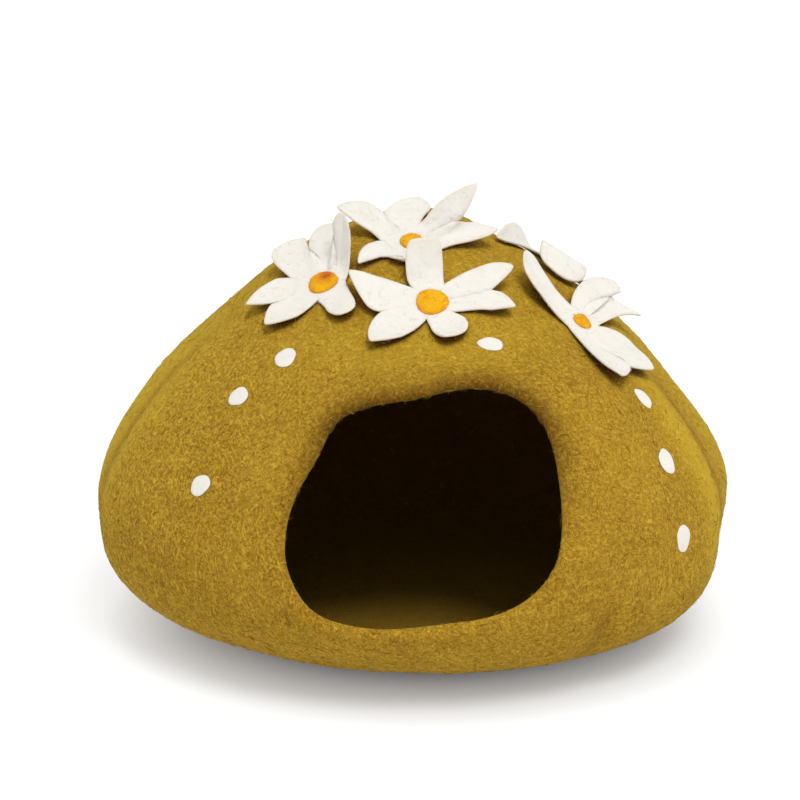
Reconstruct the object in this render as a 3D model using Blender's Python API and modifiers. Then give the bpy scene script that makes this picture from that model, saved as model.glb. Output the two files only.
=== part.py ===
"""Felt cat cave: one seamless shell of felted wool with flowers and dots.

Metres, +Z up.  The origin is the middle of the flat underside and the mouth faces -Y.
A heading is an angle round the upright axis: 0 at the front, 90 at the right (+X).
A rise is the angle above the widest ring, seen from the heart of the shell.
"""

from collections import namedtuple

import bmesh
import bpy
import numpy as np

# ---------------------------------------------------------------- the shell's sizes
HEIGHT = 0.300            # floor to crown
HEART_HEIGHT = 0.096      # height of the widest ring, and of the heart on the upright axis
BASE_SINK = 0.008         # how far a fully round belly would dip below the flat underside
CORNER_SOFTNESS = 0.12    # rounds the crown and the widest ring
WALL = 0.007              # thickness of the felt

Side = namedtuple("Side", "reach upper lower")
SIDES = {                 # reach from the axis, and the exponents above and below the ring
    "front": Side(0.238, 1.20, 2.6),
    "right": Side(0.232, 1.42, 3.7),
    "back": Side(0.228, 1.35, 3.0),
    "left": Side(0.232, 1.44, 3.1),
}

Fold = namedtuple("Fold", "heading heading_spread rise rise_spread swell")
FOLDS = {                 # soft ridges (swell above 0) and troughs, angles in degrees
    "brow": Fold(8, 40, 31, 14, 0.0170),
    "lip_left": Fold(-26, 7, 13, 17, 0.0035),
    "ridge_left": Fold(-65, 7, 16, 30, 0.0030),
    "flank_left": Fold(-84, 10, 14, 24, -0.0020),
    "hip_left": Fold(-64, 20, -16, 11, 0.0040),
    "tuck_left": Fold(-33, 14, -22, 10, -0.0030),
    "ridge_right": Fold(65, 6, 13, 26, 0.0030),
    "flank_right": Fold(76, 6, 14, 20, -0.0030),
    "hip_right": Fold(62, 22, -15, 11, 0.0035),
    "crease_low": Fold(34, 4, -9, 9, -0.0020),
    "trough_top": Fold(-18, 6, 49, 13, -0.0025),
    "slope_right": Fold(75, 40, 72, 8, -0.0060),
    "dent_back": Fold(168, 28, 32, 20, -0.0040),
    "ridge_back": Fold(-128, 9, 12, 26, 0.0025),
}

# ---------------------------------------------------------------- the mouth's sizes
MOUTH_HEADING = 3.0       # where the mouth's middle lies on the shell, in degrees
MOUTH_RISE = 13.5
MOUTH_RADIUS = 23.2       # its mean radius in degrees, seen from the heart
Wave = namedtuple("Wave", "count size heading")
MOUTH_WAVES = (           # what makes the round mouth wide, tilted and square-shouldered
    Wave(2, 2.4, 24.0),
    Wave(3, 0.5, 45.0),
    Wave(4, 1.2, -44.0),
)
RIM_ROLL = 0.009          # radius of the rim that rolls inwards
RIM_TURN = 80.0           # how far it rolls, in degrees

# ---------------------------------------------------------------- the trimmings' sizes
GAP = 0.0004              # between one piece and the next
TUFT_GAP = 0.0007         # between a flower and the wool on its middle
PETAL_FELT = 0.0025
CORE_RADIUS = 0.0125      # the flat round middle of a flower
HUB_RADIUS = 0.016        # where its petals begin
PETAL_ROOT = 0.0095       # half the width of a petal where it leaves the hub
PETAL_TIP = 0.0012        # half the width of a petal's blunt tip
PETAL_CUP = 0.0015        # how far a petal's edges stand above its middle
LIFT_CURVE = 1.7          # above 1, a petal stays low at first and curls up near its tip
TAPER_CURVE = 1.9         # above 1, its outline stays full and draws in near the tip
NOTCH_CURVE = 1.5         # how roundly the roots run from the middle line to the notches
TUFT_HEIGHT = 0.0040
TUFT_EDGE = 0.0012
DOT_RADIUS = 0.009
DOT_FELT = 0.0012
DOT_DROP = 0.003          # height from which a dot is dropped onto the shell

Petal = namedtuple("Petal", "heading reach lift arch near far broadest blunt bend roll")
Blossom = namedtuple("Blossom", "heading rise tuft petals")
# A petal's heading is 0 to the right and 90 up the slope; lengths are in millimetres.
# lift is how high its tip stands and arch how high its middle does.  near and far are the half
# widths on its clockwise and its other side, broadest is the share of its length where it is
# widest, and blunt goes from 0 for a pointed tip to 1 for a round one.
BLOSSOMS = {
    "left": Blossom(-42.6, 60.5, 11.0, (
        Petal(-180, 54, 10, 0, 12, 13, 0.50, 0.2, 16, 0),
        Petal(-133, 52, 7, 0, 14, 15, 0.35, 0.2, 0, 0),
        Petal(-68, 40, 7, 0, 15, 15, 0.50, 1.0, 6, 0),
        Petal(58, 38, 31, 0, 10, 9, 0.50, 0.3, 0, 45),
        Petal(83, 44, 14, 0, 8, 8, 0.60, 0.5, -3, 0),
        Petal(130, 53, 12, 0, 14, 13, 0.65, 1.0, -2, 0),
    )),
    "crown": Blossom(-0.7, 76.2, 9.0, (
        Petal(-149, 42, 6, 0, 11, 8, 0.45, 0.2, 0, 0),
        Petal(-84, 27, 5, 0, 12, 12, 0.60, 0.8, 0, 0),
        Petal(19, 66, 14, 0, 9, 15, 0.40, 0.2, 5, 0),
        Petal(49, 47, 34, 0, 9, 9, 0.45, 0.2, -3, 10),
        Petal(100, 48, 8, 0, 16, 15, 0.55, 0.5, -14, 0),
        Petal(148, 56, 21, 0, 14, 8, 0.50, 0.3, 2, -12),
    )),
    "front": Blossom(7.8, 58.4, 11.5, (
        Petal(-130, 58, 7, 0, 13, 15, 0.50, 0.3, -4, 0),
        Petal(-76, 41, 7, 0, 15, 13, 0.60, 1.0, 4, 0),
        Petal(-5, 57, 8, 0, 8, 13, 0.50, 0.2, 2, 0),
        Petal(24, 62, 14, 0, 12, 16, 0.35, 0.3, 5, 0),
        Petal(94, 41, 21, 0, 12, 12, 0.55, 1.0, 0, 0),
        Petal(169, 60, 12, 0, 13, 17, 0.40, 0.2, -12, 0),
    )),
    "right": Blossom(61.3, 44.9, 8.5, (
        Petal(-80, 58, 9, 0, 14, 18, 0.50, 0.3, 2, 0),
        Petal(-41, 59, 8, 0, 16, 19, 0.40, 0.2, 3, 0),
        Petal(30, 55, 12, 0, 5, 8, 0.50, 0.2, -12, 0),
        Petal(56, 48, 20, 0, 19, 17, 0.60, 0.8, -2, 0),
        Petal(146, 59, 17, 0, 10, 14, 0.60, 0.8, -8, 5),
    )),
    "back": Blossom(108.0, 55.5, 8.0, (
        Petal(-176, 62, 8, 0, 10, 10, 0.50, 0.2, 0, 0),
        Petal(-126, 62, 3, 11, 18, 20, 0.70, 1.0, 6, 0),
        Petal(-55, 52, 9, 0, 14, 14, 0.50, 0.2, 0, 0),
        Petal(8, 55, 9, 0, 14, 14, 0.50, 0.2, 0, 0),
        Petal(72, 56, 11, 0, 14, 14, 0.50, 0.2, 6, 0),
    )),
}

Spot = namedtuple("Spot", "heading rise")
DOTS = (
    Spot(-37.1, 40.1),
    Spot(-43.6, 29.4),
    Spot(-41.4, 11.9),
    Spot(23.4, 45.3),
    Spot(59.6, 25.3),
    Spot(54.3, 13.4),
    Spot(51.2, 0.8),
)

# ---------------------------------------------------------------- how finely each is meshed
SHELL_SPOKES = 44
SHELL_RINGS = 31
RIM_RINGS = 3
PETAL_STRIPS = 4
PETAL_ROWS = 5
TUFT_SPOKES = 12
TUFT_RINGS = 3
DOT_SPOKES = 12

HEART = np.array([0.0, 0.0, HEART_HEIGHT])
UP_AND_BACK = np.array([0.0, 0.7071, 0.7071])
THROUGH_MOUTH = np.array([0.0, -0.96, 0.28])
STEP = 0.004              # turn, in radians, of the short steps that find a normal
WIDEST_ROOM = np.radians(75.0)
DEEPEST_NOTCH = 0.9       # share of the shorter petal's length
NOTCH_TRIALS = 80
MM = 0.001


# ---------------------------------------------------------------- the shell as a formula
def around_plan(column, heading):
    """The smoothest closed wave through a column's front, right, back and left values."""
    front, right, back, left = (getattr(side, column) for side in SIDES.values())
    mean = (front + right + back + left) / 4
    fore_and_aft = (front - back) / 2 * np.cos(heading)
    across = (right - left) / 2 * np.sin(heading)
    squareness = (front + back - right - left) / 4 * np.cos(2 * heading)
    return mean + fore_and_aft + across + squareness


def softened(share, exponent):
    """A power of a share from 0 to 1, with the crease at 0 rounded off."""
    def lifted(value):
        rounded = (value ** 2 + CORNER_SOFTNESS ** 2) ** (exponent / 2)
        return rounded - CORNER_SOFTNESS ** exponent
    return lifted(share) / lifted(1.0)


def shell_reach(heading, rise):
    """Distance from the heart to the outer skin: a superellipse for each heading, plus folds."""
    reach = around_plan("reach", heading)
    upper = around_plan("upper", heading)
    lower = around_plan("lower", heading)
    level = np.cos(rise)
    upright = np.abs(np.sin(rise))
    above = softened(level, upper) / reach ** upper
    above = above + softened(upright, upper) / (HEIGHT - HEART_HEIGHT) ** upper
    below = (level / reach) ** lower + (upright / (HEART_HEIGHT + BASE_SINK)) ** lower
    distance = np.where(rise >= 0, above ** (-1 / upper), below ** (-1 / lower))
    for fold in FOLDS.values():
        turn = (np.degrees(heading) - fold.heading + 180) % 360 - 180
        climb = np.degrees(rise) - fold.rise
        hump = np.exp(-(turn / fold.heading_spread) ** 2 - (climb / fold.rise_spread) ** 2)
        distance = distance + fold.swell * hump
    return distance


def skin_along(direction):
    """Point of the outer skin that lies in a direction from the heart, flat underneath."""
    direction = direction / np.linalg.norm(direction, axis=-1, keepdims=True)
    rise = np.arcsin(np.clip(direction[..., 2], -1, 1))
    heading = np.arctan2(direction[..., 0], -direction[..., 1])
    point = HEART + direction * shell_reach(heading, rise)[..., None]
    point[..., 2] = np.maximum(point[..., 2], 0.0)
    return point


def skin_normal(direction):
    """Outward normal of the skin, from two short steps along it."""
    direction = direction / np.linalg.norm(direction, axis=-1, keepdims=True)
    sideways = np.cross(direction, THROUGH_MOUTH)
    sideways = sideways / np.linalg.norm(sideways, axis=-1, keepdims=True)
    upwards = np.cross(sideways, direction)
    along = skin_along(direction + STEP * sideways) - skin_along(direction - STEP * sideways)
    across = skin_along(direction + STEP * upwards) - skin_along(direction - STEP * upwards)
    normal = np.cross(along, across)
    normal = normal / np.linalg.norm(normal, axis=-1, keepdims=True)
    outward = np.sign(np.sum(normal * direction, axis=-1, keepdims=True))
    return normal * outward


def toward(heading, rise):
    """Unit vector at a heading and a rise given in degrees."""
    heading, rise = np.radians(heading), np.radians(rise)
    right = np.sin(heading) * np.cos(rise)
    back = -np.cos(heading) * np.cos(rise)
    return np.array([right, back, np.sin(rise)])


def mouth_angle(turn):
    """Angle from the mouth's middle to its edge, for each turn round it."""
    angle = MOUTH_RADIUS + 0.0 * turn
    for wave in MOUTH_WAVES:
        angle = angle + wave.size * np.cos(wave.count * (turn - np.radians(wave.heading)))
    return np.radians(angle)


def bag_direction(angle, turn):
    """Direction at an angle from the mouth's middle, turned round that middle."""
    middle = toward(MOUTH_HEADING, MOUTH_RISE)
    right = np.cross([0.0, 0.0, 1.0], middle)
    right = right / np.linalg.norm(right)
    up = np.cross(middle, right)
    outwards = np.cos(turn)[..., None] * right + np.sin(turn)[..., None] * up
    return np.cos(angle)[..., None] * middle + np.sin(angle)[..., None] * outwards


def bag_point(ring, turn):
    """Point of the shell on a ring, counted from the rim to the back, at a turn.

    The first rings roll over the rim as a quarter round; the others share out the
    angle from there to the point of the shell straight behind the mouth.
    """
    start = mouth_angle(turn) + RIM_ROLL / SIDES["front"].reach
    spread = np.clip((ring - RIM_RINGS) / (SHELL_RINGS - RIM_RINGS), 0, 1)
    angle = start + (np.pi - start) * spread
    direction = bag_direction(angle, turn)
    point = skin_along(direction)
    normal = skin_normal(direction)
    inwards = bag_direction(start - STEP, turn) - bag_direction(start + STEP, turn)
    inwards = inwards - normal * np.sum(inwards * normal, axis=-1, keepdims=True)
    inwards = inwards / np.linalg.norm(inwards, axis=-1, keepdims=True)
    roll = np.radians(RIM_TURN) * np.clip(1 - ring / RIM_RINGS, 0, 1)[..., None]
    return point + RIM_ROLL * (inwards * np.sin(roll) - normal * (1 - np.cos(roll)))


# ---------------------------------------------------------------- places on the shell
class Ground:
    """The skin round one point, with level coordinates (right, up the slope, off the skin)."""

    def __init__(self, heading, rise):
        direction = toward(heading, rise)
        self.point = skin_along(direction)
        self.normal = skin_normal(direction)
        self.up = UP_AND_BACK - self.normal * np.dot(UP_AND_BACK, self.normal)
        self.up = self.up / np.linalg.norm(self.up)
        self.right = np.cross(self.up, self.normal)

    def place(self, right, up, off):
        """Points over the skin: the foot lies on it, the rest stands along its normal."""
        right, up, off = (np.asarray(value, float)[..., None] for value in (right, up, off))
        direction = self.point + right * self.right + up * self.up - HEART
        return skin_along(direction) + off * skin_normal(direction)


# ---------------------------------------------------------------- petals as a formula
def petal_share(petal, distance):
    """How far along its length a petal is at a distance from the flower's middle."""
    return (distance - HUB_RADIUS) / (petal.reach * MM - HUB_RADIUS)


def petal_half_width(petal, distance, edge):
    """Half the width on one side: swells from the root, then runs in to the tip.

    The side is the near one where edge is below 0 and the far one elsewhere.
    """
    share = petal_share(petal, distance)
    side = np.where(np.asarray(edge) < 0, petal.near, petal.far) * MM
    swell = np.sin(np.pi / 2 * np.clip(share / petal.broadest, 0, 1))
    taper = np.clip((share - petal.broadest) / (1 - petal.broadest), 0, 1)
    width = PETAL_ROOT + (side - PETAL_ROOT) * swell
    drawn_in = (1 - taper ** TAPER_CURVE) ** (1 - petal.blunt / 2)
    return PETAL_TIP + (width - PETAL_TIP) * drawn_in


def petal_point(petal, distance, sideways, side):
    """Level coordinates of a point beside a petal's middle line.

    The middle line bends sideways and climbs to the petal's lift; the width rolls about it.
    """
    share = petal_share(petal, distance)
    heading = np.radians(petal.heading + petal.bend * share ** 2)
    roll = np.radians(petal.roll) * np.sin(np.pi / 2 * np.clip(1.5 * share, 0, 1))
    level = sideways * np.cos(roll)
    right = distance * np.cos(heading) - level * np.sin(heading)
    up = distance * np.sin(heading) + level * np.cos(heading)
    off = petal.lift * MM * share ** LIFT_CURVE
    off = off + petal.arch * MM * np.sin(np.pi * np.clip(share, 0, 1)) ** 2
    off = off + PETAL_CUP * side ** 2 * np.sin(np.pi * share)
    off = off + np.abs(sideways) * np.abs(np.sin(roll)) + sideways * np.sin(roll)
    return np.stack(np.broadcast_arrays(right, up, off), axis=-1)


Notch = namedtuple("Notch", "distance slope point")


def notch_between(petal, neighbour):
    """Where two petals part: the farthest place at which both still fill their room."""
    half_gap = np.radians((neighbour.heading - petal.heading) % 360) / 2
    slope = np.tan(min(half_gap, WIDEST_ROOM))
    shorter = min(petal.reach, neighbour.reach) * MM
    distances = np.linspace(HUB_RADIUS, DEEPEST_NOTCH * shorter, NOTCH_TRIALS)
    filled = np.ones_like(distances, dtype=bool)
    for leaf, edge in ((petal, 1.0), (neighbour, -1.0)):
        filled &= petal_half_width(leaf, distances, edge) >= distances * slope
    if filled.any():
        distance = distances[filled].max()
        here = petal_point(petal, distance, distance * slope, 1.0)
        there = petal_point(neighbour, distance, -distance * slope, 1.0)
        return Notch(distance, slope, (here + there) / 2)
    middle = np.radians(petal.heading) + half_gap
    on_circle = HUB_RADIUS * np.array([np.cos(middle), np.sin(middle), 0.0])
    return Notch(HUB_RADIUS, slope, on_circle)


def petal_sheet(petal, before, after, along, across):
    """Level coordinates of a whole petal, for along in 0..1 and across in -1..1.

    Each strip runs straight from its place between the two notches to the tip, as wide as
    the petal or as the room beside it allows, and is drawn to the notches at its root.
    """
    side = np.abs(across)
    notch_distance = np.where(across < 0, before.distance, after.distance)
    slope = np.where(across < 0, before.slope, after.slope)
    start = HUB_RADIUS + (notch_distance - HUB_RADIUS) * side ** NOTCH_CURVE
    distance = start + (petal.reach * MM - start) * along
    half = np.minimum(petal_half_width(petal, distance, across), distance * slope)
    sheet = petal_point(petal, distance, across * half, side)
    for notch, edge in ((before, -1.0), (after, 1.0)):
        room = notch.distance * notch.slope
        half = min(petal_half_width(petal, notch.distance, edge), room)
        miss = notch.point - petal_point(petal, notch.distance, edge * half, 1.0)
        pull = np.clip(across * edge, 0, 1) ** 2 * (1 - along) ** 3
        sheet = sheet + pull[..., None] * miss
    return sheet


# ---------------------------------------------------------------- helpers for Blender
def clear_scene():
    for item in list(bpy.data.objects):
        bpy.data.objects.remove(item, do_unlink=True)


def felt_material(name, colour, roughness):
    material = bpy.data.materials.new(name)
    material.use_nodes = True
    shader = material.node_tree.nodes["Principled BSDF"]
    shader.inputs["Base Color"].default_value = (*colour, 1.0)
    shader.inputs["Roughness"].default_value = roughness
    shader.inputs["Metallic"].default_value = 0.0
    return material


def felt_object(name, mesh_maker, material, collection):
    """Turn a bmesh into a named object with smooth shading."""
    mesh = bpy.data.meshes.new(name)
    mesh_maker.to_mesh(mesh)
    mesh_maker.free()
    mesh.materials.append(material)
    mesh.shade_smooth()
    piece = bpy.data.objects.new(name, mesh)
    collection.objects.link(piece)
    return piece


def thicken(piece, thickness, offset):
    solidify = piece.modifiers.new("Felt", "SOLIDIFY")
    solidify.thickness = thickness
    solidify.offset = offset


def move_to(maker_verts, points):
    for vert, point in zip(maker_verts, points):
        vert.co = point


# ---------------------------------------------------------------- the shell
def make_shell(material, collection):
    """A globe opened at one pole is the bag; each vertex moves out to the shell's skin."""
    maker = bmesh.new()
    bmesh.ops.create_uvsphere(maker, u_segments=SHELL_SPOKES, v_segments=SHELL_RINGS + 1, radius=1.0)
    front_pole = max(maker.verts, key=lambda vert: vert.co.z)
    bmesh.ops.delete(maker, geom=[front_pole], context="VERTS")
    globe = np.array([vert.co for vert in maker.verts], dtype=float)
    from_pole = np.arccos(np.clip(globe[:, 2], -1, 1)) / np.pi
    ring = from_pole * (SHELL_RINGS + 1) - 1
    turn = np.arctan2(globe[:, 1], globe[:, 0])
    move_to(maker.verts, bag_point(np.round(ring, 6), turn))
    piece = felt_object("pod", maker, material, collection)
    thicken(piece, WALL, -1.0)
    return piece


# ---------------------------------------------------------------- the flowers
def make_blossom(name, blossom, material, collection):
    """A flat round core, a ring of petal roots pulled from its edge, and the petals."""
    ground = Ground(blossom.heading, blossom.rise)
    petals = blossom.petals
    notches = [notch_between(*pair) for pair in zip(petals, petals[1:] + petals[:1])]
    maker = bmesh.new()
    spokes = PETAL_STRIPS * len(petals)
    bmesh.ops.create_circle(maker, cap_ends=True, cap_tris=True, segments=spokes, radius=1.0)
    core = [vert for vert in maker.verts if vert.co.length > 0.5]
    core.sort(key=lambda vert: np.arctan2(vert.co.y, vert.co.x) % (2 * np.pi))
    middle = [vert for vert in maker.verts if vert.co.length <= 0.5]
    move_to(middle, [ground.place(0.0, 0.0, GAP)] * len(middle))
    roots = pull_row(maker, core + core[:1])[:-1]
    for index, petal in enumerate(petals):
        places = [(index * PETAL_STRIPS + step) % spokes for step in range(PETAL_STRIPS + 1)]
        across = np.linspace(-1, 1, PETAL_STRIPS + 1)
        sheet = petal_sheet(petal, notches[index - 1], notches[index], 0.0 * across, across)
        move_to([roots[place] for place in places], ground.place(*sheet.T + [[0], [0], [GAP]]))
        level = sheet[:, :2] / np.linalg.norm(sheet[:, :2], axis=1, keepdims=True)
        move_to([core[place] for place in places], ground.place(*CORE_RADIUS * level.T, GAP))
        row = [roots[place] for place in places]
        for step in range(1, PETAL_ROWS + 1):
            row = pull_row(maker, row)
            along = np.full_like(across, np.sin(np.pi / 2 * step / PETAL_ROWS))
            sheet = petal_sheet(petal, notches[index - 1], notches[index], along, across)
            move_to(row, ground.place(*sheet.T + [[0], [0], [GAP]]))
    piece = felt_object(name, maker, material, collection)
    thicken(piece, PETAL_FELT, 1.0)
    return piece


def pull_row(maker, row):
    """Extrude the edges between a row's vertices and return the new row."""
    edges = [maker.edges.get(pair) for pair in zip(row[:-1], row[1:])]
    pulled = set(bmesh.ops.extrude_edge_only(maker, edges=edges)["geom"])
    return [pulled_from(vert, pulled) for vert in row]


def pulled_from(vert, pulled):
    """The vertex that an extrusion pulled out of this one."""
    neighbours = [edge.other_vert(vert) for edge in vert.link_edges]
    return next(neighbour for neighbour in neighbours if neighbour in pulled)


def make_tuft(name, blossom, material, collection):
    """A low dome of wool on the middle of a flower."""
    ground = Ground(blossom.heading, blossom.rise)
    maker = bmesh.new()
    seat = GAP + PETAL_FELT + TUFT_GAP
    bmesh.ops.create_uvsphere(maker, u_segments=TUFT_SPOKES, v_segments=2 * TUFT_RINGS, radius=1.0)
    globe = np.array([vert.co for vert in maker.verts], dtype=float)
    dome = TUFT_EDGE + (TUFT_HEIGHT - TUFT_EDGE) * np.clip(globe[:, 2], 0, 1)
    off = seat + np.where(globe[:, 2] > -0.01, dome, 0.0)
    radius = blossom.tuft * MM
    points = ground.place(radius * globe[:, 0], radius * globe[:, 1], off)
    move_to(maker.verts, points)
    return felt_object(name, maker, material, collection)


# ---------------------------------------------------------------- the dots
def make_dot(name, spot, shell, material, collection):
    """A thin disc dropped onto the shell, then given its thickness."""
    ground = Ground(spot.heading, spot.rise)
    maker = bmesh.new()
    bmesh.ops.create_circle(maker, cap_ends=True, cap_tris=True, segments=DOT_SPOKES, radius=1.0)
    flat = np.array([vert.co for vert in maker.verts], dtype=float) * DOT_RADIUS
    move_to(maker.verts, ground.place(flat[:, 0], flat[:, 1], 0.0 * flat[:, 0] + DOT_DROP))
    piece = felt_object(name, maker, material, collection)
    wrap = piece.modifiers.new("Lie on the shell", "SHRINKWRAP")
    wrap.target = shell
    wrap.wrap_method = "NEAREST_SURFACEPOINT"
    wrap.wrap_mode = "OUTSIDE_SURFACE"
    wrap.offset = GAP
    thicken(piece, DOT_FELT, 1.0)
    return piece


def main():
    clear_scene()
    collection = bpy.data.collections.new("felt_cat_cave")
    bpy.context.scene.collection.children.link(collection)
    mustard = felt_material("mustard_wool", (0.418, 0.246, 0.023), 0.95)
    white = felt_material("white_wool", (0.871, 0.838, 0.752), 0.95)
    orange = felt_material("orange_wool", (0.950, 0.450, 0.010), 0.95)

    shell = make_shell(mustard, collection)
    for place, blossom in BLOSSOMS.items():
        make_blossom("blossom_" + place, blossom, white, collection)
        make_tuft("centre_" + place, blossom, orange, collection)
    for number, spot in enumerate(DOTS, start=1):
        make_dot(f"dot_{number}", spot, shell, white, collection)


main()
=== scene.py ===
# %% [markdown]
# # A felt cat cave, wrapped in its wool
# The real thing is made by hand: wet wool is rubbed over a round form until it mats into one thick
# seamless shell, a mouth is cut in its front, and flowers and dots of white wool are put on.
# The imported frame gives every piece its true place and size.  This lesson gives each one its looks:
# a fine surface worked out with numpy, a felt made of shader nodes, and a cloud of loose fibres.

from collections import namedtuple

import bpy
import numpy as np
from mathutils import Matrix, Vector


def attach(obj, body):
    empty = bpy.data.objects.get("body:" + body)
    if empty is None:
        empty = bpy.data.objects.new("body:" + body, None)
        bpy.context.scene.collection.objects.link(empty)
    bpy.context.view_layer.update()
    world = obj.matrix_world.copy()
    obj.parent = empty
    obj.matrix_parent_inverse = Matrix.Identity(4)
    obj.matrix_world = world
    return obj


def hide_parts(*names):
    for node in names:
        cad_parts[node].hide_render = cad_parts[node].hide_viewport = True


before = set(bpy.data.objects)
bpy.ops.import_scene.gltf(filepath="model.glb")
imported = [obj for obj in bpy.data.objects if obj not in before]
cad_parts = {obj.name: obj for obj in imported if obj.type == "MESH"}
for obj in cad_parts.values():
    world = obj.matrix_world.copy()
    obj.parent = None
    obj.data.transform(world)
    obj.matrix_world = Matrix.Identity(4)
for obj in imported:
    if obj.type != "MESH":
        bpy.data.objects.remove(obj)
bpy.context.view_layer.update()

MM = 0.001

# %% [markdown]
# ## The shell as a formula
# From its heart, a point on the upright axis, every direction meets the shell once.  So the skin is
# one number, its reach, for each heading (0 at the front, 90 at the right) and rise.  It is a
# superellipse whose sizes change from side to side.  Sculpting would do as well, but a formula can
# be asked again for the place of a flower, a dot or a single fibre.

# %% The reach of the skin
HEIGHT = 0.300
HEART_HEIGHT = 0.096
BASE_SINK = 0.008
CORNER_SOFTNESS = 0.12
WALL = 0.007
HEART = np.array([0.0, 0.0, HEART_HEIGHT])

Side = namedtuple("Side", "reach upper lower")
SIDES = {
    "front": Side(0.238, 1.20, 2.6),
    "right": Side(0.232, 1.42, 3.7),
    "back": Side(0.228, 1.35, 3.0),
    "left": Side(0.232, 1.44, 3.1),
}


def around_plan(column, heading):
    """The mean of the four sides plus a first and a second wave of the heading through them."""
    front, right, back, left = (getattr(side, column) for side in SIDES.values())
    mean = (front + right + back + left) / 4
    fore_and_aft = (front - back) / 2 * np.cos(heading)
    across = (right - left) / 2 * np.sin(heading)
    squareness = (front + back - right - left) / 4 * np.cos(2 * heading)
    return mean + fore_and_aft + across + squareness


def softened(share, exponent):
    """A power of a share from 0 to 1, with the crease at 0 rounded off."""
    def lifted(value):
        rounded = (value ** 2 + CORNER_SOFTNESS ** 2) ** (exponent / 2)
        return rounded - CORNER_SOFTNESS ** exponent
    return lifted(share) / lifted(1.0)


def smooth_reach(heading, rise):
    """(a^n + b^n)^(-1/n) for a = cos(rise) / width and b = sin(rise) / height, by heading."""
    reach = around_plan("reach", heading)
    upper = around_plan("upper", heading)
    lower = around_plan("lower", heading)
    level = np.cos(rise)
    upright = np.abs(np.sin(rise))
    above = softened(level, upper) / reach ** upper
    above = above + softened(upright, upper) / (HEIGHT - HEART_HEIGHT) ** upper
    below = (level / reach) ** lower + (upright / (HEART_HEIGHT + BASE_SINK)) ** lower
    return np.where(rise >= 0, above ** (-1 / upper), below ** (-1 / lower))


# %% [markdown]
# ## Creases and hollows
# A shell of felt keeps the marks of the hands that made it: a brow over the mouth, a lip beside
# it, two upright ridges with a hollow outside each, and a belly that tucks in.  Each fold is a soft
# hill on the skin, placed by its heading and rise in degrees, and a negative swell is a hollow.
# The fine folds are too small for the construction, and the trims round off its corners.

# %% Folds
Fold = namedtuple("Fold", "heading heading_spread rise rise_spread swell")
FOLDS = {
    "brow": Fold(8, 40, 31, 14, 0.0170),
    "lip_left": Fold(-26, 7, 13, 17, 0.0035),
    "ridge_left": Fold(-65, 7, 16, 30, 0.0030),
    "flank_left": Fold(-84, 10, 14, 24, -0.0020),
    "hip_left": Fold(-64, 20, -16, 11, 0.0040),
    "tuck_left": Fold(-33, 14, -22, 10, -0.0030),
    "ridge_right": Fold(65, 6, 13, 26, 0.0030),
    "flank_right": Fold(76, 6, 14, 20, -0.0030),
    "hip_right": Fold(62, 22, -15, 11, 0.0035),
    "crease_low": Fold(34, 4, -9, 9, -0.0020),
    "trough_top": Fold(-18, 6, 49, 13, -0.0025),
    "slope_right": Fold(75, 40, 72, 8, -0.0060),
    "dent_back": Fold(168, 28, 32, 20, -0.0040),
    "ridge_back": Fold(-128, 9, 12, 26, 0.0025),
}
FINE_FOLDS = {
    "crest_left": Fold(-67, 3, 14, 22, 0.0012),
    "groove_left": Fold(-73, 3, 14, 22, -0.0012),
    "crest_right": Fold(63, 3, 12, 20, 0.0012),
    "groove_right": Fold(70, 3, 12, 20, -0.0012),
    "pinch_low": Fold(33, 2, -12, 6, -0.0010),
}
TRIMS = {
    "corner_left": Fold(-88, 34, -17, 9, -0.0088),
    "corner_right": Fold(88, 30, -14, 9, -0.0088),
    "corner_fore": Fold(-58, 14, -26, 8, -0.0050),
    "slope_left": Fold(-92, 30, 38, 13, -0.0025),
    "slope_hind": Fold(108, 22, 20, 9, -0.0035),
    "foot_left": Fold(-27, 16, -28, 6.5, 0.0025),
    "foot_right": Fold(42, 14, -26, 6, -0.0012),
}


def folded(heading, rise, folds):
    """The sum of the folds: swell times e to minus the squares of the two distances."""
    total = 0.0 * heading
    for fold in folds.values():
        turn = (np.degrees(heading) - fold.heading + 180) % 360 - 180
        climb = np.degrees(rise) - fold.rise
        away = (turn / fold.heading_spread) ** 2 + (climb / fold.rise_spread) ** 2
        total = total + fold.swell * np.exp(-away)
    return total


# %% [markdown]
# ## Lumps
# Felt is never even.  A sum of plane waves in random directions is a cheap smooth noise that numpy
# works out for all points at once.  Long waves are high and short ones far lower, so the surface
# rolls softly and doesn't look like a golf ball.

# %% Lumps
LONGEST_LUMP = 0.110
SHORTEST_LUMP = 0.022
LUMP_HEIGHT = 0.0008      # of the longest wave
LUMP_WAVES = 70
WAVE_FALL = 1.6           # a wave of half the length has 2^-1.6 of the height


def wave_table(count, longest, shortest, height, seed):
    """Wave vectors, phases and heights of random plane waves; height goes as length^WAVE_FALL."""
    dice = np.random.default_rng(seed)
    length = longest * (shortest / longest) ** dice.random(count)
    way = dice.normal(size=(count, 3))
    way = way / np.linalg.norm(way, axis=1, keepdims=True)
    phase = dice.uniform(0, 2 * np.pi, count)
    tall = height * (length / longest) ** WAVE_FALL * np.sqrt(6 / count)
    return way * (2 * np.pi / length)[:, None], phase, tall


def rippled(points, table):
    """The sum of height times sine of (wave vector . point + phase) over the waves."""
    vectors, phase, tall = table
    return np.sin(points @ vectors.T + phase) @ tall


SHELL_WAVES = wave_table(LUMP_WAVES, LONGEST_LUMP, SHORTEST_LUMP, LUMP_HEIGHT, seed=11)
FLOOR_SOFTNESS = 0.0015   # rounds the crease where the belly meets the flat underside


def unit(vectors):
    return vectors / np.linalg.norm(vectors, axis=-1, keepdims=True)


def bearings(direction):
    """Heading and rise of unit vectors, in radians."""
    rise = np.arcsin(np.clip(direction[..., 2], -1, 1))
    return np.arctan2(direction[..., 0], -direction[..., 1]), rise


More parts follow.
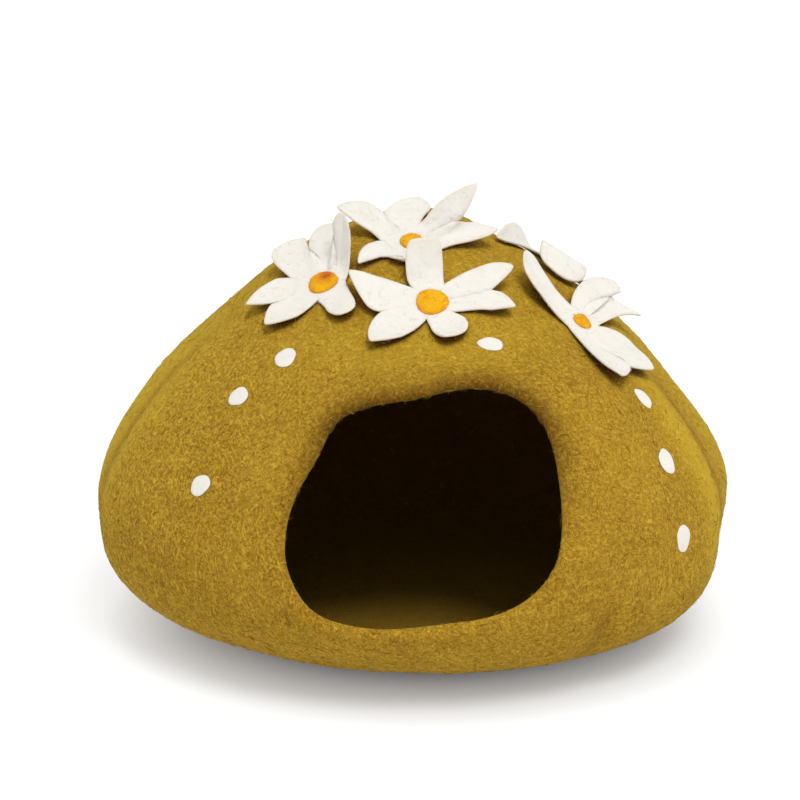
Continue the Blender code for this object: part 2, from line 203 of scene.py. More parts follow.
def skin_along(direction):
    """The skin in a direction from the heart, with folds and lumps, and flat underneath."""
    direction = unit(direction)
    heading, rise = bearings(direction)
    reach = smooth_reach(heading, rise) + folded(heading, rise, FOLDS)
    reach = reach + folded(heading, rise, FINE_FOLDS) + folded(heading, rise, TRIMS)
    flat = direction.reshape(-1, 3) * reach.reshape(-1, 1)
    lumps = rippled(flat, SHELL_WAVES).reshape(reach.shape)
    point = HEART + direction * (reach + lumps)[..., None]
    low = point[..., 2]
    point[..., 2] = (low + np.sqrt(low ** 2 + FLOOR_SOFTNESS ** 2)) / 2
    return point


STEP = 0.004              # radians
THROUGH_MOUTH = np.array([0.0, -0.96, 0.28])    # where sideways is undefined, and no skin is


def skin_normal(direction):
    """Outward normal: the cross product of two short steps along the skin."""
    direction = unit(direction)
    sideways = unit(np.cross(direction, THROUGH_MOUTH))
    upwards = np.cross(sideways, direction)
    along = skin_along(direction + STEP * sideways) - skin_along(direction - STEP * sideways)
    across = skin_along(direction + STEP * upwards) - skin_along(direction - STEP * upwards)
    normal = unit(np.cross(along, across))
    return normal * np.sign(np.sum(normal * direction, axis=-1, keepdims=True))


def toward(heading, rise):
    """Unit vector at a heading and a rise given in degrees."""
    heading, rise = np.radians(heading), np.radians(rise)
    right = np.sin(heading) * np.cos(rise)
    back = -np.cos(heading) * np.cos(rise)
    return np.array([right, back, np.sin(rise)])


print("height of the crown:", round(float(skin_along(toward(0, 90))[2]), 4))

# %% [markdown]
# ## The mouth and the bag
# The mouth is a wavy circle on the shell.  The shell is then a bag: rings that start at the rim and
# widen and close again at the back.  Two numbers, the ring and the turn round the mouth, name every
# point of it, so rim and wall are one grid with no seam to hide.  The first rings roll inwards.

# %% The bag
MOUTH_HEADING = 3.0
MOUTH_RISE = 13.5
MOUTH_RADIUS = 23.2       # degrees, seen from the heart
Wave = namedtuple("Wave", "count size heading")
MOUTH_WAVES = (Wave(2, 2.4, 24.0), Wave(3, 0.5, 45.0), Wave(4, 1.2, -44.0))
Dent = namedtuple("Dent", "turn spread size")
MOUTH_DENTS = (Dent(157.0, 18.0, -1.6), Dent(140.0, 12.0, 0.7), Dent(222.0, 15.0, 1.1))
RIM_ROLL = 0.009          # radius of the rolled rim
RIM_TURN = 80.0           # degrees of it
RINGS = 31
RIM_RINGS = 3


def mouth_angle(turn):
    """Angle from the mouth's middle to its edge: the mean radius, waves of the turn, and dents."""
    angle = MOUTH_RADIUS + 0.0 * turn
    for wave in MOUTH_WAVES:
        angle = angle + wave.size * np.cos(wave.count * (turn - np.radians(wave.heading)))
    for dent in MOUTH_DENTS:
        away = (np.degrees(turn) - dent.turn + 180) % 360 - 180
        angle = angle + dent.size * np.exp(-(away / dent.spread) ** 2)
    return np.radians(angle)


def bag_direction(angle, turn):
    """Direction at an angle from the mouth's middle, turned round that middle."""
    middle = toward(MOUTH_HEADING, MOUTH_RISE)
    right = unit(np.cross([0.0, 0.0, 1.0], middle))
    up = np.cross(middle, right)
    outwards = np.cos(turn)[..., None] * right + np.sin(turn)[..., None] * up
    return np.cos(angle)[..., None] * middle + np.sin(angle)[..., None] * outwards


def bag_point(ring, turn):
    """Skin point of a ring and a turn; over the rim it rolls in as an arc of RIM_ROLL."""
    start = mouth_angle(turn) + RIM_ROLL / SIDES["front"].reach
    spread = np.clip((ring - RIM_RINGS) / (RINGS - RIM_RINGS), 0, 1)
    angle = start + (np.pi - start) * spread
    direction = bag_direction(angle, turn)
    point = skin_along(direction)
    normal = skin_normal(direction)
    inwards = bag_direction(start - STEP, turn) - bag_direction(start + STEP, turn)
    inwards = inwards - normal * np.sum(inwards * normal, axis=-1, keepdims=True)
    inwards = unit(inwards)
    roll = np.radians(RIM_TURN) * np.clip(1 - ring / RIM_RINGS, 0, 1)[..., None]
    return point + RIM_ROLL * (inwards * np.sin(roll) - normal * (1 - np.cos(roll)))


# %% [markdown]
# ## From points to a mesh
# Every surface below ends as an array of points and an array of corners, four to a face; a corner
# that repeats is left out, so a pole closes in triangles.  foreach_set copies them into a mesh in one
# go.  A map named OFBake lays each piece out flat, and number layers tell the materials where they are.

# %% Meshes from arrays
def put_in_scene(name, data):
    """A new object that holds the data."""
    thing = bpy.data.objects.new(name, data)
    bpy.context.scene.collection.objects.link(thing)
    return thing


def make_object(name, points, faces, flat_map, layers=None):
    """A smooth object from points (n, 3), corners (m, 4) and the corners' places on the map."""
    kept = faces != np.roll(faces, -1, axis=1)
    starts = np.concatenate([[0], np.cumsum(kept.sum(axis=1))[:-1]])
    corners = faces[kept]
    mesh = bpy.data.meshes.new(name)
    mesh.vertices.add(len(points))
    mesh.vertices.foreach_set("co", np.asarray(points, np.float32).ravel())
    mesh.loops.add(len(corners))
    mesh.loops.foreach_set("vertex_index", corners.astype(np.int32))
    mesh.polygons.add(len(faces))
    mesh.polygons.foreach_set("loop_start", starts.astype(np.int32))
    mesh.update(calc_edges=True)
    mesh.shade_smooth()
    layer = mesh.uv_layers.new(name="OFBake")
    layer.uv.foreach_set("vector", flat_map[kept].astype(np.float32).ravel())
    for title, values in (layers or {}).items():
        layer = mesh.attributes.new(title, "FLOAT", "POINT")
        layer.data.foreach_set("value", np.asarray(values, np.float32))
    print(name, "points", len(points), "triangles", len(corners) - 2 * len(faces))
    return put_in_scene(name, mesh)


def grid(rows, columns, closed):
    """Corners of a grid stored row by row, and their shares across and along it.

    A closed grid joins its last column to its first.
    """
    last = columns if closed else columns - 1
    row, column = np.meshgrid(np.arange(rows - 1), np.arange(last), indexing="ij")
    steps = ((0, 0), (0, 1), (1, 1), (1, 0))
    row = np.stack([row + down for down, _ in steps], axis=-1).reshape(-1, 4)
    column = np.stack([column + right for _, right in steps], axis=-1).reshape(-1, 4)
    plan = np.stack([column / last, row / (rows - 1)], axis=-1)
    return row * columns + column % columns, plan


def only_used(faces):
    """The numbers of the points that faces use, and the faces renumbered to them."""
    used, corners = np.unique(faces, return_inverse=True)
    return used, corners.reshape(faces.shape)


def settle(piece, node):
    """A finished piece rides on the one body and takes the place of a node."""
    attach(piece, "root")
    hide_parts(node)


def vertex_normals(points, faces):
    """Normals of a mesh: each face's cross product, added to its corners and made unit length."""
    corners = points[faces]
    spread = np.cross(corners[:, 2] - corners[:, 0], corners[:, -1] - corners[:, 1])
    total = np.zeros_like(points)
    for place in range(faces.shape[1]):
        np.add.at(total, faces[:, place], spread)
    return unit(total)


# %% [markdown]
# ## Felt with a round edge
# Cut felt doesn't end in a sharp corner: its edge is soft and nearly half round.  Solidify and Bevel
# could make it, but a bevel fails where a petal runs out to a point.  Here the sheet's middle surface
# grows a top and a bottom, and its thickness runs down to nothing at the outline along an ellipse, so
# the two sides meet in one line of shared points and the piece closes by itself.

# %% A thick sheet
Sheet = namedtuple("Sheet", "points faces plan share")


def edge_share(distance, softness):
    """sqrt(1 - (1 - d)^2) for d from 0 at the outline to 1 at the depth where felt is full."""
    depth = np.clip(distance / softness, 0, 1)
    return np.sqrt(1 - (1 - depth) ** 2)


def thick_felt(sheet, thickness, split):
    """A closed body round a middle surface: points, corners, map, and each point's source.

    The top takes the map up to split and the bottom the rest.  A source below the number of the
    sheet's points is on the top, and the others are on the bottom.
    """
    count = len(sheet.points)
    off = vertex_normals(sheet.points, sheet.faces) * (thickness / 2 * sheet.share)[:, None]
    both = np.concatenate([sheet.points + off, sheet.points - off])
    below = np.where(sheet.share > 0, np.arange(count) + count, np.arange(count))
    faces = np.concatenate([sheet.faces, below[sheet.faces[:, ::-1]]])
    top_map = sheet.plan * [1.0, split]
    bottom_map = sheet.plan[:, ::-1] * [1.0, 1 - split] + [0.0, split]
    source, faces = only_used(faces)
    return both[source], faces, np.concatenate([top_map, bottom_map]), source


# %% [markdown]
# ## The shell
# The rings lie close together over the rim, where the felt curls in, and spread out behind it.  The
# skin is the outer face, so the middle surface lies half a wall inside.  Five layers tell the material
# where it is: painted shade deep inside the cave, painted shade on the edge over the mouth, a painted
# highlight on the fine crests with painted shade in their grooves, a tone of painted light and shade,
# yellower where light falls and browner where shade does, and grain where the mottling is stronger.
# Tone and grain are placed by tables of folds, as the creases are.

# %% Painted light and shade, and grain
# Painted light and shade on the mustard: yellower where light falls on the side edges, crests, brow and
# crown; browner in a valley, beside the mouth, just over it and low under it.
TONE_LIGHT_AND_SHADE = {
    "yellow_left": Fold(-88, 20, 14, 36, 1.15),
    "yellow_right": Fold(91, 13, 12, 36, 0.80),
    "crest_right": Fold(63, 4, 16, 26, 0.75),
    "valley_right": Fold(72, 4, 16, 22, -0.30),
    "brown_left": Fold(-43, 19, -2, 26, -1.20),
    "brown_brow": Fold(0, 30, 35, 4, -0.35),
    "brown_low": Fold(0, 60, -26, 9, -0.50),
    "yellow_brow": Fold(0, 44, 46, 9, 0.50),
    "yellow_crown": Fold(20, 60, 66, 16, 0.30),
    "yellow_lip": Fold(-27, 5, 12, 18, 0.45),
}
GRAIN = {"left": Fold(-62, 34, 6, 50, 1.0)}


def on_shell(points, folds):
    """The sum of a table of folds at points, found by their headings and rises."""
    return folded(*bearings(unit(points - HEART)), folds)


# The painted light-and-shade tone and the grain of the mottling at points on the shell.
def tone_and_grain(points):
    return {"light_shade_tone": on_shell(points, TONE_LIGHT_AND_SHADE), "grain": on_shell(points, GRAIN)}


# %% Make the shell
SHELL_SPOKES = 312
RIM_ROWS = 22
RIM_CROWDING = 1.5        # above 1, rows crowd towards the rim's edge
WALL_ROWS = 128
LIP_SOFTNESS = 0.0040
CAVE_SHADE_FULL_AT = 0.045           # this far behind the rim, the painted shade on the inner face is full
LIP_SHADE_REACH = 0.013         # width of the painted shade where the brow turns into the mouth
LIP_BESIDE = 0.40         # its strength beside the mouth, against 1 over it
CREASE_LIGHT_FULL = 0.0012       # swell of the fine folds at which the painted highlight on crests and the painted shade in grooves are full


def shell_skin():
    """The outer skin on rings that start dense at the rim's edge, with one point for its pole."""
    rim = RIM_RINGS * np.linspace(0, 1, RIM_ROWS + 1) ** RIM_CROWDING
    rings = np.concatenate([rim, np.linspace(RIM_RINGS, RINGS, WALL_ROWS + 1)[1:]])
    turns = np.linspace(0, 2 * np.pi, SHELL_SPOKES, endpoint=False)
    skin = bag_point(*np.meshgrid(rings, turns, indexing="ij"))
    faces, plan = grid(len(rings), SHELL_SPOKES, closed=True)
    upness = np.broadcast_to(np.sin(turns), skin.shape[:2]).ravel()
    return skin, np.minimum(faces, skin[..., 0].size - SHELL_SPOKES), plan, upness


def make_shell():
    """The skin moved in by half a wall, and thickened."""
    skin, faces, plan, upness = shell_skin()
    steps = np.linalg.norm(np.diff(skin, axis=0), axis=-1)
    from_edge = np.concatenate([np.zeros((1, SHELL_SPOKES)), np.cumsum(steps, axis=0)]).ravel()
    count = faces.max() + 1
    points = skin.reshape(-1, 3)[:count]
    normals = vertex_normals(points, faces)
    if np.sum(normals * (points - HEART)) < 0:
        faces, plan, normals = faces[:, ::-1], plan[:, ::-1], -normals
    share = edge_share(from_edge[:count], LIP_SOFTNESS)
    sheet = Sheet(points - normals * WALL / 2, faces, plan, share)
    points, faces, flat_map, source = thick_felt(sheet, WALL, split=0.7)
    inner = source >= count
    reach = from_edge[source % count]
    # painted shade: the inner face darkens from the rim back into the cave
    cave_shade = inner * np.clip(reach / CAVE_SHADE_FULL_AT, 0, 1)
    # painted shade: dark brown on the edge over the mouth, where the rim rolls in
    lip_shade = np.exp(-(reach / LIP_SHADE_REACH) ** 2) * np.clip(LIP_BESIDE + upness[source % count], 0, 1)
    # painted light and shade: 1 on the crests of the fine folds, -1 in their grooves
    crease_light = np.clip(on_shell(points, FINE_FOLDS) / CREASE_LIGHT_FULL, -1, 1) * ~inner
    layers = {"cave_shade": cave_shade, "lip_shade": lip_shade, "crease_light": crease_light, **tone_and_grain(points)}
    return make_object("pod_felt", points, faces, flat_map, layers)


shell = make_shell()
settle(shell, "pod")

# %% [markdown]
# ## Places on the skin
# A flower is drawn on a flat plan, with right and up in metres, and then laid on the shell: every
# point goes to the skin in its own direction from the heart and is lifted along the skin's normal.
# So petals wrap the round wool as cut felt does, and none of them floats or cuts in.

# %% Ground under a trimming
UP_AND_BACK = np.array([0.0, 0.7071, 0.7071])


class Ground:
    """The skin round one point, with level coordinates (right, up the slope, off the skin)."""

    def __init__(self, heading, rise):
        direction = toward(heading, rise)
        self.point = skin_along(direction)
        self.normal = skin_normal(direction)
        self.up = unit(UP_AND_BACK - self.normal * np.dot(UP_AND_BACK, self.normal))
        self.right = np.cross(self.up, self.normal)

    def place(self, right, up, off):
        """The skin below (right, up), plus off times the normal there."""
        right, up, off = (np.asarray(value, float)[..., None] for value in (right, up, off))
        direction = self.point + right * self.right + up * self.up - HEART
        return skin_along(direction) + off * skin_normal(direction)


# %% [markdown]
# ## The flowers' plan
# Each flower is cut from one sheet, with five or six petals of its own sizes.  A petal's width is a
# formula of the distance from the flower's middle: it swells from the root and runs in to the tip.
# Where two neighbours fill the room between them they part, and that is their notch.
# Heading is 0 to the right and 90 up the slope, near is its clockwise side, and lengths are in
# millimetres.  Bend and roll, in degrees, and arch are 0 where a row leaves them out.

# %% Flower table
PETAL_COLUMNS = "heading reach lift near far broadest blunt bend roll arch"
Petal = namedtuple("Petal", PETAL_COLUMNS, defaults=(0, 0, 0))
Blossom = namedtuple("Blossom", "heading rise tuft petals")
BLOSSOMS = {
    "left": Blossom(-42.6, 60.5, 10.2, (
        Petal(-185, 55, 10, 13, 13, 0.40, 0.2, 17),
        Petal(-137, 51, 7, 18, 12, 0.30, 0.3),
        Petal(-64, 41, 7, 8, 12, 0.45, 1.0),
        Petal(58, 38, 31, 10, 9, 0.50, 0.3, 0, 45),
        Petal(85, 48, 14, 8, 16, 0.60, 1.2, -1),
        Petal(135, 58, 12, 26, 9, 0.52, 1.0, -2),
    )),
    "crown": Blossom(-0.7, 76.2, 8.2, (
        Petal(-162, 43, 6, 10, 6, 0.45, 0.2, 12),
        Petal(-106, 22, 5, 12, 12, 0.60, 0.8),
        Petal(19, 66, 14, 7, 19, 0.35, 0.2, 5),
        Petal(49, 47, 34, 12, 8, 0.30, 0.2, -3, 10),
        Petal(100, 48, 8, 16, 15, 0.55, 0.5, -14),
        Petal(148, 56, 21, 14, 5, 0.50, 0.3, 2, -12),
    )),
    "front": Blossom(7.8, 58.4, 11.5, (
        Petal(-140, 58, 7, 15, 14, 0.38, 0.3, 6),
        Petal(-68, 41, 7, 11, 16, 0.30, 1.0, -7),
        Petal(8, 57, 8, 10, 14, 0.50, 0.2, -12),
        Petal(31, 64, 15, 9, 13, 0.38, 0.7),
        Petal(98, 42, 21, 11, 14, 0.30, 1.7),
        Petal(169, 60, 12, 13, 16, 0.40, 0.2, -12),
    )),
    "right": Blossom(61.3, 44.9, 6.8, (
        Petal(-80, 58, 9, 10, 22, 0.50, 0.3, 2),
        Petal(-28, 59, 8, 22, 22, 0.35, 0.2, -10),
        Petal(48, 56, 16, 11, 14, 0.15, 0.2, -27),
        Petal(72, 48, 20, 19, 11, 0.60, 0.8, -18),
        Petal(146, 59, 17, 10, 14, 0.60, 0.8, -8, 5),
    )),
    "back": Blossom(108.0, 55.5, 8.0, (
        Petal(-176, 62, 2, 11, 9, 0.50, 0.2, 0, -33),
        Petal(-126, 62, 3, 18, 20, 0.70, 1.0, 6, 0, 11),
        Petal(-55, 52, 9, 14, 14, 0.50, 0.2),
        Petal(8, 55, 9, 14, 14, 0.50, 0.2),
        Petal(72, 56, 11, 14, 14, 0.50, 0.2, 6),
    )),
}

# %% Petal formulas
GAP = 0.0004
PETAL_FELT = 0.0020
CORE_RADIUS = 0.0125      # the flat round middle of a flower
HUB_RADIUS = 0.016        # where its petals begin
PETAL_ROOT = 0.0115       # half the width of a petal where it leaves the hub
PETAL_TIP = 0.0006
PETAL_CUP = 0.0008        # how far a petal's edges stand above its middle
LIFT_CURVE = 1.7          # above 1, a petal stays low at first and curls up near its tip
TAPER_CURVE = 1.9
NOTCH_CURVE = 1.5
NOTCH_FADE = 3            # a greater number keeps the pull to a notch nearer the petal's root
ROLL_START = 1.5          # a petal is fully rolled at 1 / 1.5 of its length
WIDEST_ROOM = np.radians(75.0)
DEEPEST_NOTCH = 0.9       # share of the shorter petal's length
NOTCH_TRIALS = 80


def petal_share(petal, distance):
    """How far along its length a petal is at a distance from the flower's middle."""
    return (distance - HUB_RADIUS) / (petal.reach * MM - HUB_RADIUS)


def petal_half_width(petal, distance, edge):
    """root + (side - root) * sine of the way to the broadest place, times 1 - taper^n past it."""
    share = petal_share(petal, distance)
    side = np.where(np.asarray(edge) < 0, petal.near, petal.far) * MM
    swell = np.sin(np.pi / 2 * np.clip(share / petal.broadest, 0, 1))
    taper = np.clip((share - petal.broadest) / (1 - petal.broadest), 0, 1)
    width = PETAL_ROOT + (side - PETAL_ROOT) * swell
    drawn_in = (1 - taper ** TAPER_CURVE) ** (1 - petal.blunt / 2)
    return PETAL_TIP + (width - PETAL_TIP) * drawn_in


def petal_point(petal, distance, sideways, side):
    """A point beside the middle line, which bends by share^2 and lifts by share^LIFT_CURVE.

    The width rolls about the line, and the edges stand PETAL_CUP above it halfway along.
    """
    share = petal_share(petal, distance)
    heading = np.radians(petal.heading + petal.bend * share ** 2)
    roll = np.radians(petal.roll) * np.sin(np.pi / 2 * np.clip(ROLL_START * share, 0, 1))
    level = sideways * np.cos(roll)
    right = distance * np.cos(heading) - level * np.sin(heading)
    up = distance * np.sin(heading) + level * np.cos(heading)
    off = petal.lift * MM * np.maximum(share, 0) ** LIFT_CURVE
    off = off + petal.arch * MM * np.sin(np.pi * np.clip(share, 0, 1)) ** 2
    off = off + PETAL_CUP * side ** 2 * np.sin(np.pi * share)
    off = off + np.abs(sideways) * np.abs(np.sin(roll)) + sideways * np.sin(roll)
    return np.stack(np.broadcast_arrays(right, up, off), axis=-1)


Notch = namedtuple("Notch", "distance slope point")


def notch_between(petal, neighbour):
    """The farthest distance at which both half widths still reach the line between the petals."""
    half_gap = np.radians((neighbour.heading - petal.heading) % 360) / 2
    slope = np.tan(min(half_gap, WIDEST_ROOM))
    shorter = min(petal.reach, neighbour.reach) * MM
    distances = np.linspace(HUB_RADIUS, DEEPEST_NOTCH * shorter, NOTCH_TRIALS)
    filled = np.ones_like(distances, dtype=bool)
    for leaf, edge in ((petal, 1.0), (neighbour, -1.0)):
        filled &= petal_half_width(leaf, distances, edge) >= distances * slope
    if filled.any():
        distance = distances[filled].max()
        here = petal_point(petal, distance, distance * slope, 1.0)
        there = petal_point(neighbour, distance, -distance * slope, 1.0)
        return Notch(distance, slope, (here + there) / 2)
    middle = np.radians(petal.heading) + half_gap
    on_circle = HUB_RADIUS * np.array([np.cos(middle), np.sin(middle), 0.0])
    return Notch(HUB_RADIUS, slope, on_circle)


def petal_sheet(petal, before, after, along, across):
    """A whole petal for along in 0..1 and across in -1..1: across times the half width, or times
    the room beside it where that is less, drawn to the notches at its root."""
    side = np.abs(across)
    notch_distance = np.where(across < 0, before.distance, after.distance)
    slope = np.where(across < 0, before.slope, after.slope)
    start = HUB_RADIUS + (notch_distance - HUB_RADIUS) * side ** NOTCH_CURVE
    distance = start + (petal.reach * MM - start) * along
    half = np.minimum(petal_half_width(petal, distance, across), distance * slope)
    sheet = petal_point(petal, distance, across * half, side)
    for notch, edge in ((before, -1.0), (after, 1.0)):
        room = notch.distance * notch.slope
        half = min(petal_half_width(petal, notch.distance, edge), room)
        miss = notch.point - petal_point(petal, notch.distance, edge * half, 1.0)
        pull = np.clip(across * edge, 0, 1) ** 2 * (1 - along) ** NOTCH_FADE
        sheet = sheet + pull[..., None] * miss
    return sheet


# %% [markdown]
# ## From plan to flower
# A flower is one grid: its columns run from the middle out over a petal, and its rows go round the
# core and then up each petal by itself.  Rows and columns lie close together near the outline, where
# the felt rounds off.  The same petals without lift or roll give the flat pattern that a maker cuts.

# %% Make the flowers
STRIPS = 24
PETAL_ROWS = 36
CORE_ROWS = 7
EDGE_SOFTNESS = 0.0011    # depth at which a petal has its full thickness
EDGE_BOUNCE_DEPTH = 0.0016        # depth to which a cut edge takes the painted cream of light bounced from the mustard
TOUCHING = 1e-7           # a point this near the outline is on it
FREE_AT = 3 * MM          # a petal this far off the shell waves freely
PETAL_WAVES = wave_table(40, 0.030, 0.009, 0.0003, seed=23)


def leaf_patches(petals):
    """For each petal, rows from the flower's middle to the tip: (rows, strips, 3)."""
    across = np.sin(np.pi / 2 * np.linspace(-1, 1, STRIPS + 1))
    along = np.sin(np.pi / 2 * np.linspace(0, 1, PETAL_ROWS + 1))
    along, across = np.meshgrid(along, across, indexing="ij")
    notches = [notch_between(*pair) for pair in zip(petals, petals[1:] + petals[:1])]
    inwards = np.linspace(0, 1, CORE_ROWS + 1)[:-1, None, None]
    patches = []
    for index, petal in enumerate(petals):
        leaf = petal_sheet(petal, notches[index - 1], notches[index], along, across)
        core = inwards * leaf[:1]
        reach = np.linalg.norm(leaf[:1, :, :2], axis=-1)
        climb = (inwards[..., 0] * reach - CORE_RADIUS) / (reach - CORE_RADIUS)
        core[..., 2] = leaf[:1, :, 2] * np.clip(climb, 0, 1)
        patches.append(np.concatenate([core, leaf]))
    return patches


def distance_to_outline(points, outline):
    """Least distance from points (n, 2) to the straight steps between outline points (m, 2)."""
    start = outline[:-1]
    step = outline[1:] - start
    away = points[:, None] - start
    along = np.sum(away * step, axis=-1) / np.maximum(np.sum(step * step, axis=-1), 1e-18)
    nearest = away - np.clip(along, 0, 1)[..., None] * step
    return np.linalg.norm(nearest, axis=-1).min(axis=1)


def patch_outline(patch):
    """Up the near side of a petal, over its tip and down the far side, from notch to notch."""
    leaf = patch[CORE_ROWS:, :, :2]
    return np.concatenate([leaf[:, 0], leaf[-1, 1:-1], leaf[::-1, -1]])


def flower_grid(petal_count):
    """Index of each patch's points, with the middle and the core's columns shared by neighbours."""
    spokes = petal_count * STRIPS
    core = 1 + np.arange(CORE_ROWS * spokes).reshape(CORE_ROWS, spokes)
    core = np.concatenate([np.zeros((1, spokes), int), core])
    free = 1 + CORE_ROWS * spokes
    index = []
    for number in range(petal_count):
        columns = (number * STRIPS + np.arange(STRIPS + 1)) % spokes
        leaf = free + np.arange(PETAL_ROWS * (STRIPS + 1)).reshape(PETAL_ROWS, -1)
        free = leaf[-1, -1] + 1
        index.append(np.concatenate([core[:, columns], leaf]))
    return index, free


def flower_sheet(blossom):
    """The flower's middle surface, its flat pattern's size and area, and its distance to an edge."""
    ground = Ground(blossom.heading, blossom.rise)
    shaped = leaf_patches(blossom.petals)
    pattern = leaf_patches(tuple(petal._replace(lift=0, arch=0, roll=0)
                                 for petal in blossom.petals))
    outlines = [patch_outline(cut) for cut in pattern]
    index, count = flower_grid(len(shaped))
    points, flat, inset = np.zeros((count, 3)), np.zeros((count, 2)), np.full(count, 1.0)
    quads = grid(CORE_ROWS + PETAL_ROWS + 1, STRIPS + 1, closed=False)[0][:, ::-1]
    for place, patch, cut, outline in zip(index, shaped, pattern, outlines):
        right, up, off = np.moveaxis(patch, -1, 0)
        laid = ground.place(right, up, off + GAP + PETAL_FELT / 2)
        wave = rippled(laid.reshape(-1, 3), PETAL_WAVES).reshape(off.shape)
        wave = np.clip(off / FREE_AT, 0, 1) * wave
        points[place] = laid + wave[..., None] * ground.normal
        flat[place] = cut[..., :2]
        away = distance_to_outline(cut[..., :2].reshape(-1, 2), outline)
        inset[place] = np.minimum(inset[place], away.reshape(place.shape))
    faces = np.concatenate([place.ravel()[quads] for place in index])
    outline = np.concatenate(outlines)
    size = np.ptp(outline, axis=0)
    area = abs(np.sum(outline[:, 0] * np.roll(outline[:, 1], -1)
                      - outline[:, 1] * np.roll(outline[:, 0], -1))) / 2
    inset = np.where(inset < TOUCHING, 0.0, inset)
    plan = ((flat - outline.min(axis=0)) / size)[faces]
    return Sheet(points, faces, plan, edge_share(inset, EDGE_SOFTNESS)), inset, size, area


def make_flower(place, blossom):
    sheet, inset, size, area = flower_sheet(blossom)
    points, faces, flat_map, source = thick_felt(sheet, PETAL_FELT, split=0.6)
    # edge: near the outline, for the painted cream of bounced light
    edge = np.exp(-(inset[source % len(inset)] / EDGE_BOUNCE_DEPTH) ** 2)
    piece = make_object(f"blossom_{place}_felt", points, faces, flat_map, {"edge": edge})
    settle(piece, f"blossom_{place}")
    print("  cut from", np.round(size * 1000), "mm, area", round(area * 1e4, 1), "square cm")
    return piece


flowers = {place: make_flower(place, blossom) for place, blossom in BLOSSOMS.items()}

# %% [markdown]
# ## The yellow middles
# A pinch of orange wool is stabbed onto each flower with a barbed needle, which packs it into a low
# uneven dome.  It is a turned shape: one profile from the top over the edge to the flat bottom,
# carried round a circle that wobbles a little.

# %% Make the tufts
TUFT_SPOKES = 44
TUFT_ROWS = 15
TUFT_HEIGHT = 0.0022
TUFT_SEAT = GAP + PETAL_FELT + 0.0002
TUFT_WAVES = wave_table(30, 0.012, 0.004, 0.0004, seed=5)
TUFT_WOBBLE = 0.035       # share of the radius
DOME_POWER = 0.7          # below 1, the top is flatter than a ball's
EMBERS = {"left": 1.0, "crown": 0.15, "front": 0.0, "right": 0.2, "back": 0.4}
EMBER_RIGHT, EMBER_UP, EMBER_SPREAD = 0.25, 0.45, 0.42    # shares of the radius


def tuft_grid(radius, phase):
    """Level coordinates of a dome: radius times sine and height times cosine^power of one angle."""
    angle = np.pi / 2 * np.linspace(0, 2, 2 * TUFT_ROWS + 1)
    turn = np.linspace(0, 2 * np.pi, TUFT_SPOKES, endpoint=False)
    angle, turn = np.meshgrid(angle, turn, indexing="ij")
    wobble = TUFT_WOBBLE * np.cos(2 * turn + phase) + TUFT_WOBBLE * np.cos(3 * turn - 2 * phase)
    wide = radius * (1 + wobble) * np.sin(angle)
    dome = np.maximum(np.cos(angle), 0) ** DOME_POWER
    return wide * np.cos(turn), wide * np.sin(turn), TUFT_SEAT + TUFT_HEIGHT * dome


def make_tuft(place, blossom, phase):
    """The dome with lumps on it.  Its ember is e to minus a squared distance from one spot."""
    ground = Ground(blossom.heading, blossom.rise)
    radius = blossom.tuft * MM
    right, up, off = tuft_grid(radius, phase)
    points = ground.place(right, up, off)
    lump = rippled(points.reshape(-1, 3), TUFT_WAVES).reshape(off.shape)
    high = np.clip((off - TUFT_SEAT) / TUFT_HEIGHT, 0, 1)
    points = points + (lump * high)[..., None] * ground.normal
    faces, plan = grid(*off.shape, closed=True)
    first, last = TUFT_SPOKES - 1, off.size - TUFT_SPOKES
    used, corners = only_used(np.clip(faces[:, ::-1], first, last))
    away = np.hypot(right / radius - EMBER_RIGHT, up / radius - EMBER_UP) ** 2
    layers = {"rim": np.hypot(right, up) / radius,
              "ember": EMBERS[place] * np.exp(-away / EMBER_SPREAD)}
    layers = {title: values.ravel()[used] for title, values in layers.items()}
    piece = make_object(f"centre_{place}_wool", points.reshape(-1, 3)[used], corners,
                        plan[:, ::-1], layers)
    settle(piece, f"centre_{place}")
    return piece


tufts = {place: make_tuft(place, blossom, phase=1.7 * number)
         for number, (place, blossom) in enumerate(BLOSSOMS.items())}

# %% [markdown]
# ## The white dots
# A dot is a thin wisp of wool needled flat into the shell, so it stands out by less than a
# millimetre and its border sinks away.  It is the same round grid as a tuft, only nearly flat.

# %% Make the dots
Spot = namedtuple("Spot", "heading rise right up longer shorter turn")
DOTS = (
    Spot(-37.1, 40.1, 1.0, -1.3, 9.2, 7.7, 98),
    Spot(-43.6, 29.4, 2.5, -2.2, 7.8, 7.3, 165),
    Spot(-41.4, 11.9, 3.5, -1.2, 7.9, 7.5, 13),
    Spot(23.4, 45.3, -0.4, -1.5, 8.8, 6.6, 1),
    Spot(59.6, 25.3, -3.5, -2.7, 8.4, 5.4, 140),
    Spot(54.3, 13.4, -1.5, -0.7, 9.3, 7.6, 106),
    Spot(51.2, 0.8, -0.4, -0.3, 9.5, 7.9, 124),
)
DOT_FELT = 0.0008
DOT_ROWS = 9
DOT_SPOKES = 40
DOT_SOFTNESS = 0.0030
DOT_SEAT = 0.00015
DOT_WOBBLE = 0.02         # share of the radius


